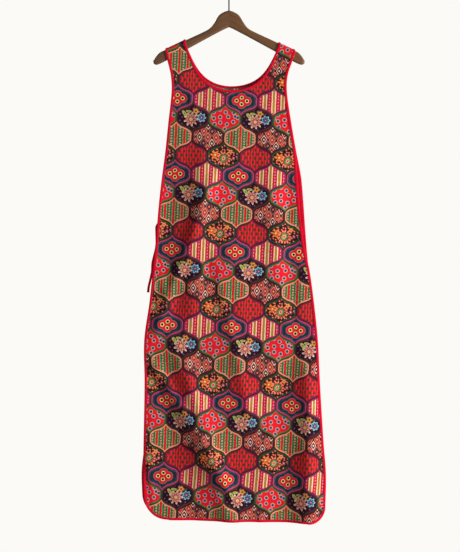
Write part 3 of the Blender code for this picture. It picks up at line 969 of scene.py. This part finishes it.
        # Pointed leaves in a half-drop lattice on maroon, in three colourings
        slantX, slantY = add("divide", x, 11.6), add("divide", y, 17.0)
        slants = (add("add", slantX, slantY), add("subtract", slantX, slantY))
        steps = [add("round", add("multiply", slant, 0.5)) for slant in slants]
        rests = [add("multiply_add", step, -2.0, slant) for step, slant in zip(steps, slants)]
        offX = add("absolute", add("multiply", add("add", *rests), 0.5))
        offY = add("absolute", add("multiply", add("subtract", *rests), 0.5))
        point = add("multiply_add", add("power", offX, 1.4), 1.18, offY)
        pinks = paint(
            "#40141c", point, 2.0,
            (0.0, "#f4ccb4"), (0.16, "#4a2028"), (0.52, "#e8b4a0"), (0.74, "#5a1c24"), (0.94, None),
        )
        reds = paint(
            "#40141c", point, 2.0,
            (0.0, "#d89c70"), (0.18, "#7a1c22"), (0.38, "#c43c3c"), (0.70, "#e09878"),
            (0.82, "#5a1820"), (0.94, None),
        )
        plums = paint(
            "#40141c", point, 2.0,
            (0.0, "#d86848"), (0.20, "#2c1820"), (0.45, "#4c3440"), (0.74, "#b86c5c"), (0.88, None),
        )
        pick = add("floored_modulo", add("multiply_add", steps[0], 2.0, steps[1]), 4.0)
        tile = add("MixRGB", add("compare", pick, 1.0, 0.4), reds, pinks)
        return add("MixRGB", add("compare", pick, 2.0, 0.4), tile, plums)

    def greenStripes():
        # Red stripes with cream beads, chains of small flowers on green
        half = 12.0
        band = add("pingpong", x, half)
        tile = paint("#2e7d3c", band, half, (0.0, "#d01828"), (3.1, "#173c20"), (5.2, "#2c6e36"))
        bead = add("CombineXYZ", add("subtract", band, 4.2), add("pingpong", y, 1.9), 0.0)
        tile = paint(tile, length(bead), 4.0, (0.0, "#d8d890"), (1.0, None))
        bud = add("CombineXYZ", add("subtract", half, band), add("pingpong", y, 3.75), 0.0)
        return paint(
            tile, length(bud), 5.0, (0.0, "#401828"), (1.1, "#f0b49c"), (2.5, "#10281c"), (3.6, None)
        )

    # Each kind of tile in order: its drawing, its outline and its border
    tiles = [
        (seedStripes, "#38182c", "#6e1a38"),
        (lilies, "#182012", "#244a30"),
        (daisies, "#443818", "#38142a"),
        (eyeDots, "#2a4424", "#3c6c3a"),
        (tanStripes, "#381a34", "#9a2454"),
        (quatrefoil, "#32301a", "#c8366c"),
        (leafLattice, "#40141c", "#40141c"),
        (greenStripes, "#26381e", "#f09070"),
    ]
    total = seedStripes()
    for number in range(1, len(tiles)):
        chosen = add("compare", kind, float(number), 0.4)
        total = add("MixRGB", chosen, total, tiles[number][0]())
    share = add("divide", add("add", kind, 0.5), float(len(tiles)))
    for which, reach in ((2, calico["border"]), (1, calico["outline"])):
        stops = [(number / len(tiles), tile[which]) for number, tile in enumerate(tiles)]
        ink = add("ValToRGB", share, stops=stops)
        total = add("MixRGB", add("less_than", rim, reach), total, ink)
    tree.links.new(total, leave.inputs["Color"])
    return tree


def newMaterial(name):
    material = bpy.data.materials.new(name)
    material.use_nodes = True
    return material, material.node_tree, material.node_tree.nodes["Principled BSDF"]


# Light woven cotton with a reactive print: matt, faintly fuzzy
printLook = {
    "roughness": 0.85,
    "sheen": 0.02,
    "sheenRoughness": 0.5,
    "specular": 0.07,
    "fade": 0.02,
    "fadeScale": 22.0,
    "faded": "#c9a49a",
    "reverse": "#d9c4bc",
    "reverseShare": 0.14,    # how much paler the print is on the reverse
    "threads": 0.0011,       # over and under, two threads of the plain weave
    "weaveDepth": 0.35,
    "slackScale": 60.0,
    "slackDepth": 5.0,       # the cloth's uneven slack, in the same relief
    "reliefShare": 0.2,
    "relief": 0.00035,
}


def printedCotton(name, group, paleness):
    material, tree, shader = newMaterial(name)
    uv = addNode(tree, "UVMap", uv_map="clothMap")
    pattern = tree.nodes.new("ShaderNodeGroup")
    pattern.node_tree = group
    tree.links.new(uv, pattern.inputs["Place"])
    washed = addNode(tree, "TexNoise", uv, None, printLook["fadeScale"], 3.0, 0.6)
    washed = addNode(tree, "multiply", washed, printLook["fade"])
    colour = addNode(tree, "MixRGB", washed, pattern.outputs["Color"], printLook["faded"])
    colour = addNode(tree, "MixRGB", paleness, colour, printLook["reverse"])
    tree.links.new(colour, shader.inputs["Base Color"])
    shader.inputs["Roughness"].default_value = printLook["roughness"]
    shader.inputs["Sheen Weight"].default_value = printLook["sheen"]
    shader.inputs["Sheen Roughness"].default_value = printLook["sheenRoughness"]
    shader.inputs["Specular IOR Level"].default_value = printLook["specular"]
    perMetre = math.tau / printLook["threads"]
    turns = addNode(tree, "VectorMath", uv, (perMetre,) * 3, operation="MULTIPLY")
    turns = addNode(tree, "SeparateXYZ", turns).node.outputs
    warp, weft = (addNode(tree, "sine", turn) for turn in turns[:2])
    weave = addNode(tree, "multiply", addNode(tree, "multiply", warp, weft), printLook["weaveDepth"])
    slack = addNode(tree, "TexNoise", uv, None, printLook["slackScale"], 4.0, 0.6)
    height = addNode(tree, "multiply_add", slack, printLook["slackDepth"], weave)
    bump = addNode(tree, "Bump", printLook["reliefShare"], printLook["relief"], None, height)
    tree.links.new(bump, shader.inputs["Normal"])
    return material


# Crimson poplin cut on the bias for the bindings and ties
bindingLook = {
    "colour": "#e20c2e",
    "shade": "#c20826",
    "roughness": 0.78,
    "sheen": 0.02,
    "specular": 0.07,
    "cloudScale": 70.0,
    "weaveScale": 1100.0,    # threads about 0.5 mm apart, coarser than poplin's so that they show
    "reliefShare": 0.25,
    "relief": 0.0002,
}


def crimsonCotton():
    material, tree, shader = newMaterial("crimsonCotton")
    place = addNode(tree, "TexCoord", out=3)
    cloud = addNode(tree, "TexNoise", place, None, bindingLook["cloudScale"], 3.0, 0.6)
    colour = addNode(tree, "MixRGB", cloud, bindingLook["shade"], bindingLook["colour"])
    tree.links.new(colour, shader.inputs["Base Color"])
    shader.inputs["Roughness"].default_value = bindingLook["roughness"]
    shader.inputs["Sheen Weight"].default_value = bindingLook["sheen"]
    shader.inputs["Specular IOR Level"].default_value = bindingLook["specular"]
    weave = addNode(tree, "TexNoise", place, None, bindingLook["weaveScale"], 2.0, 0.6)
    bump = addNode(tree, "Bump", bindingLook["reliefShare"], bindingLook["relief"], None, weave)
    tree.links.new(bump, shader.inputs["Normal"])
    return material


# Walnut-stained beech under satin lacquer, the two halves from different boards
woodLook = {
    "dark": "#462a18",
    "light": "#8a5c34",
    "roughness": 0.42,
    "coat": 0.2,
    "coatRoughness": 0.3,
    "lengthScale": 7.0,      # the grain runs along the arms
    "depthScale": 60.0,
    "heightScale": 110.0,
    "otherBoard": 31.0,
    "rightLighter": 0.16,
    "darker": 0.12,
    "reliefShare": 0.12,
    "relief": 0.0003,
}


def stainedWood():
    material, tree, shader = newMaterial("walnutStainedWood")
    place = addNode(tree, "TexCoord", out=3)
    split = addNode(tree, "SeparateXYZ", place).node.outputs
    right = addNode(tree, "greater_than", split[0], 0.0)
    reach = addNode(tree, "absolute", split[0])
    along = addNode(tree, "multiply", reach, woodLook["lengthScale"])
    rise = addNode(tree, "multiply_add", reach, -wood["slope"], split[2])
    board = addNode(tree, "multiply", right, woodLook["otherBoard"])
    rise = addNode(tree, "multiply_add", rise, woodLook["heightScale"], board)
    deep = addNode(tree, "multiply", split[1], woodLook["depthScale"])
    stretched = addNode(tree, "CombineXYZ", along, deep, rise)
    grainLines = addNode(tree, "TexNoise", stretched, None, 1.6, 5.0, 0.65, None, None, None, 0.6)
    share = addNode(tree, "multiply_add", right, woodLook["rightLighter"], grainLines)
    share = addNode(tree, "subtract", share, woodLook["darker"])
    colour = addNode(tree, "MixRGB", share, woodLook["dark"], woodLook["light"])
    tree.links.new(colour, shader.inputs["Base Color"])
    shader.inputs["Roughness"].default_value = woodLook["roughness"]
    shader.inputs["Coat Weight"].default_value = woodLook["coat"]
    shader.inputs["Coat Roughness"].default_value = woodLook["coatRoughness"]
    bump = addNode(tree, "Bump", woodLook["reliefShare"], woodLook["relief"], None, grainLines)
    tree.links.new(bump, shader.inputs["Normal"])
    return material


# Steel wire in semi-gloss black lacquer
steelLook = {
    "base": "#09090b",
    "specular": 0.2,
    "smoothest": 0.38,
    "cloud": 0.16,
    "cloudScale": 240.0,
}


def blackSteel():
    material, tree, shader = newMaterial("blackLacqueredSteel")
    place = addNode(tree, "TexCoord", out=3)
    cloud = addNode(tree, "TexNoise", place, None, steelLook["cloudScale"], 2.0, 0.5)
    rough = addNode(tree, "multiply_add", cloud, steelLook["cloud"], steelLook["smoothest"])
    tree.links.new(rough, shader.inputs["Roughness"])
    shader.inputs["Base Color"].default_value = linear(steelLook["base"])
    shader.inputs["Specular IOR Level"].default_value = steelLook["specular"]
    return material


group = printGroup()
print("print group nodes", len(group.nodes))
printMaterials = [
    printedCotton("printedCotton", group, 0.0),
    printedCotton("printedCottonReverse", group, printLook["reverseShare"]),
]
crimson = crimsonCotton()
walnut = stainedWood()
steel = blackSteel()

frontCloth, frontFlat, frontArea = addPanel(front, grain["front"], printMaterials)
backCloth, backFlat, backArea = addPanel(back, grain["back"], printMaterials)
print("stage panels done")

edgeRings, edgeFrames = bindingRings(
    [(front, outerChain(front)), (back, outerChain(back)[::-1])], binding["edgeSeed"]
)
neckRings, neckFrames = bindingRings(
    [(front, neckChain(front)), (back, neckChain(back)[::-1])], binding["neckSeed"]
)
for name, frames in (("edge", edgeFrames), ("neck", neckFrames)):
    steps = [(b[0] - a[0]).length for a, b in zip(frames, frames[1:] + frames[:1])]
    print("binding", name, "length", round(sum(steps), 3))
edgeBinding = surface("edge_binding_strip", edgeRings, crimson, loop=True)
neckBinding = surface("neck_binding_strip", neckRings, crimson, loop=True)
edgeStitches = addStitches("edge_binding_stitches", stitchLines(edgeFrames), crimson)
neckStitches = addStitches("neck_binding_stitches", stitchLines(neckFrames), crimson)
print("stage bindings done")

# Ties: flat tapes sewn inside the edge binding
tieSpec = {
    "width": 0.0070,
    "thick": 0.0014,
    "top": -0.668,
    "seat": 0.0003,
    "drops": (0.0, 0.022, 0.062, 0.135, 0.205),
    "close": (0.0, 0.004, 0.006, 0.007, 0.007),
    "loose": (0.0, 0.004, 0.008, 0.009, 0.010),
    "rings": 70,
    "cadCloth": 0.0014,      # the ties keep the room that the thicker solids need
    "tackRings": (1, 2, 3),
    "tackFace": 0.95,        # just under the tape's face
    "tackReach": 0.75,
}
# One quarter of a tape's section: soft edge, then a stitched hollow in the middle
tapeQuarter = [(1.0, 0.0), (0.93, 0.75), (0.72, 1.0), (0.3, 0.92), (0.0, 0.8)]
# Name, panel, side, swing at each drop, and how loosely it hangs
ties = [
    ("tie_front_left", front, 1, (0.0, 0.0, 0.003, 0.012, 0.022), "close"),
    ("tie_front_right", front, 2, (0.0, 0.0, -0.004, -0.014, -0.026), "close"),
    ("tie_back_left", back, 1, (0.0, -0.0085, -0.0075, -0.0200, -0.0320), "loose"),
    ("tie_back_right", back, 2, (0.0, 0.0, -0.004, -0.014, -0.024), "close"),
]
tackLines = []               # addTie fills this with the stitches that hold each tie


def tieSection(across, deep):
    # The quarter mirrored to one half, and that half turned round for the other
    half = [(-x, z) for x, z in tapeQuarter] + tapeQuarter[-2::-1]
    outline = half + [(-x, -z) for x, z in half[1:-1]]
    return [across * x + deep * z for x, z in outline]


def addTie(name, panel, column, sways, liftRow):
    sign = 1 if column == 1 else -1
    seat = tieSpec["cadCloth"] / 2 + proud + tieSpec["seat"] + tieSpec["thick"] / 2
    middleX = sideX(panel, column, tieSpec["top"]) + sign * binding["edgeWidth"] / 2
    drops, lifts = tieSpec["drops"], tieSpec[liftRow]
    spans = len(drops) - 1
    rings = []
    for i in range(tieSpec["rings"] + 1):
        place = i * spans / tieSpec["rings"]
        row = min(int(place), spans - 1)
        share = place - row
        x = middleX + blend(sways[row], sways[row + 1], smooth(share))
        lift = blend(lifts[row], lifts[row + 1], smooth(share))
        height = tieSpec["top"] - blend(drops[row], drops[row + 1], share)
        inwards = -outward(panel, x, height)
        middle = hang(panel, x, height) + inwards * (seat + lift)
        across = inwards.cross(Vector((0.0, 0.0, 1.0))).normalized() * tieSpec["width"] / 2
        deep = inwards * tieSpec["thick"] / 2
        rings.append([middle + corner for corner in tieSection(across, deep)])
        if i in tieSpec["tackRings"]:
            for side in (1, -1):
                face = middle + deep * side * tieSpec["tackFace"]
                reach = across * tieSpec["tackReach"]
                tackLines.append([(end, inwards * side) for end in (face - reach, face + reach)])
    tie = surface(name + "_tape", rings, crimson)
    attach(tie, "root")
    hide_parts(name)


for tieRow in ties:
    addTie(*tieRow)
tieTacks = addStitches("tie_tacks", tackLines, crimson)


# Topstitching beside each shoulder seam
shoulder = {"below": 0.0022, "steps": 12}


def shoulderLines():
    lines = []
    for panel in (front, back):
        for column, sign in ((1, -1), (2, 1)):
            start = neck["middle"] + sign * (neck["half"] + binding["neckWidth"])
            end = sideX(panel, column, armTop(strapOuter)) - sign * binding["edgeWidth"]
            line = []
            for i in range(shoulder["steps"] + 1):
                x = blend(start, end, i / shoulder["steps"])
                level = seamLevel(x) - shoulder["below"]
                normal = outward(panel, x, level)
                line.append((hang(panel, x, level) + normal * cloth["wall"] / 2, normal))
            lines.append(line)
    return lines


shoulderStitches = addStitches("shoulder_stitches", shoulderLines(), crimson)
print("stage ties done")


def armSection(reach, top, bottom, half, sign):
    # A bar with round edges above and below
    ring = []
    steps = wood["roundSteps"]
    for middle, first in ((top - half, 0.0), (bottom + half, math.pi)):
        for step in range(steps + 1):
            turn = first + math.pi * step / steps
            y = armY(reach) + half * math.cos(turn)
            ring.append(Vector((sign * reach, y, middle + half * math.sin(turn))))
    return ring


def addArm(name, sign):
    table = [(-reach, top, bottom, half) for reach, top, bottom, half in woodRows]
    rings = []
    for i in range(wood["rings"] + 1):
        reach = wood["reach"] * (1 - (1 - i / wood["rings"]) ** wood["crowding"])
        top, bottom, half = (curveThrough(table, column, -reach) for column in (1, 2, 3))
        rings.append(armSection(reach, top, bottom, half, sign))
    top, bottom, half = woodRows[-1][1:]
    middle = (top + bottom) / 2
    for past, share in wood["tip"]:
        size = (top - bottom) / 2 * share
        rings.append(
            armSection(wood["reach"] + past, middle + size, middle - size, half * share, sign)
        )
    arm = surface(name + "_wood", rings, walnut)
    arm.data.set_sharp_from_angle(angle=math.radians(wood["sharpAngle"]))
    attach(arm, "root")
    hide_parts(name)
    return arm


arms = [addArm("hanger_arm_left", -1), addArm("hanger_arm_right", 1)]

# The hook: shank, bend and open loop over the rail
hook = {
    "wire": 0.0038,
    "radius": 0.0219,
    "shank": (-0.0985, -0.075, -0.050),  # heights, from its end in the wood
    "start": 200.0,          # degrees round the loop
    "tip": -28.0,
    "lead": 0.011,
    "bendSteps": 16,
    "loopSteps": 44,
    "roundness": 6,
    "tipSegments": (20, 12),
    "tipSize": 1.02,         # of the wire, so that the ball covers its cap
}


def addHook():
    middle = Vector((0.0, 0.0, -hook["radius"] + hook["wire"] / 2))
    first, last = math.radians(hook["start"]), math.radians(hook["tip"])

    def onLoop(angle):
        return middle + hook["radius"] * Vector((math.cos(angle), 0.0, math.sin(angle)))

    shank = [Vector((0.0, 0.0, height)) for height in hook["shank"]]
    start = shank[-1]
    end = onLoop(first)
    enter = end - hook["lead"] * Vector((math.sin(first), 0.0, -math.cos(first)))
    leave = start + Vector((0.0, 0.0, hook["lead"]))
    bend = interpolate_bezier(start, leave, enter, end, hook["bendSteps"])
    steps = hook["loopSteps"]
    loop = [onLoop(blend(first, last, i / steps)) for i in range(1, steps + 1)]
    path = [*shank[:-1], *bend, *loop]
    curve = bpy.data.curves.new("hanger_hook_wire", "CURVE")
    curve.dimensions = "3D"
    curve.bevel_depth = hook["wire"] / 2
    curve.bevel_resolution = hook["roundness"]
    curve.use_fill_caps = True
    spline = curve.splines.new("POLY")
    spline.points.add(len(path) - 1)
    for point, place in zip(spline.points, path):
        point.co = (*place, 1.0)
    curve.materials.append(steel)
    thing = bpy.data.objects.new("hanger_hook_wire", curve)
    scene.collection.objects.link(thing)
    # A small ball rounds the tip
    bm = bmesh.new()
    around, along = hook["tipSegments"]
    size = hook["wire"] / 2 * hook["tipSize"]
    bmesh.ops.create_uvsphere(bm, u_segments=around, v_segments=along, radius=size)
    bmesh.ops.translate(bm, verts=bm.verts, vec=path[-1])
    mesh = bpy.data.meshes.new("hanger_hook_tip")
    bm.to_mesh(mesh)
    bm.free()
    tip = addObject("hanger_hook_tip", mesh, steel)
    for item in (thing, tip):
        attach(item, "root")
    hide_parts("hanger_hook")


addHook()
print("stage hanger done")

for thing, node, slot in (
    (frontCloth, "front_panel", "printed_cotton"),
    (backCloth, "back_panel", "printed_cotton"),
    (edgeBinding, "edge_binding", "crimson_cotton"),
    (neckBinding, "neck_binding", "crimson_cotton"),
):
    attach(thing, "root")
    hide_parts(node)
for thing in (edgeStitches, neckStitches, tieTacks, shoulderStitches):
    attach(thing, "root")

# Studio: a pale floor well below the hem, soft light from the right, weak fill
studio = {
    "floor": -2.12,
    "floorRadius": 1.4,
    "floorColour": "#f4f1ec",
    "floorRoughness": 0.9,
    "wall": "#fbfaf6",
    "wallStrength": 1.0,
    "air": "#e4e2e0",
    "airStrength": 0.30,
    "aim": (0.0, 0.0, -0.85),
    "keyPlace": (2.10, -1.15, -0.35),
    "keySize": (1.1, 1.6),
    "keyPower": 84.0,
    "fillPlace": (-1.6, -1.9, -0.2),
    "fillSize": (1.2, 1.2),
    "fillPower": 4.0,
    "backPlace": (-1.4, 1.9, 0.3),
    "backSize": (1.2, 1.6),
    "backPower": 48.0,
}
bm = bmesh.new()
bmesh.ops.create_circle(bm, cap_ends=True, segments=96, radius=studio["floorRadius"])
bmesh.ops.translate(bm, verts=bm.verts, vec=(0.0, 0.0, studio["floor"]))
floorMesh = bpy.data.meshes.new("studio_floor")
bm.to_mesh(floorMesh)
bm.free()
floorMaterial, _, floorShader = newMaterial("paleStudioFloor")
floorShader.inputs["Base Color"].default_value = linear(studio["floorColour"])
floorShader.inputs["Roughness"].default_value = studio["floorRoughness"]
floor = addObject("studio_floor", floorMesh, floorMaterial)


def addLight(name):
    light = bpy.data.lights.new(name + "_light", "AREA")
    light.shape = "RECTANGLE"
    light.size, light.size_y = studio[name + "Size"]
    light.energy = studio[name + "Power"]
    thing = bpy.data.objects.new(name + "_light", light)
    thing.location = studio[name + "Place"]
    aim = Vector(studio["aim"]) - thing.location
    thing.rotation_euler = aim.to_track_quat("-Z", "Y").to_euler()
    scene.collection.objects.link(thing)


for name in ("key", "fill", "back"):
    addLight(name)
world = bpy.data.worlds.new("paleRoom")
world.use_nodes = True
# The lens sees a paler wall than the one that lights the cloth
worldTree = world.node_tree
seen = addNode(worldTree, "LightPath")
air = addNode(worldTree, "Background", studio["air"], studio["airStrength"])
wall = addNode(worldTree, "Background", studio["wall"], studio["wallStrength"])
both = addNode(worldTree, "MixShader", seen, air, wall)
worldTree.links.new(both, worldTree.nodes["World Output"].inputs[0])
scene.world = world
scene.view_settings.view_transform = "Standard"

# Straight on and level, far enough for 2.8 mm to a pixel
view = {"lens": 85.0, "sensor": 36.0, "place": (0.0030, -3.672, -0.8265)}
camera = bpy.data.cameras.new("photo_camera")
camera.lens = view["lens"]
camera.sensor_width = view["sensor"]
cameraThing = bpy.data.objects.new("photo_camera", camera)
cameraThing.location = view["place"]
cameraThing.rotation_euler = (math.pi / 2, 0.0, 0.0)
scene.collection.objects.link(cameraThing)
scene.camera = cameraThing


print("stage studio done")
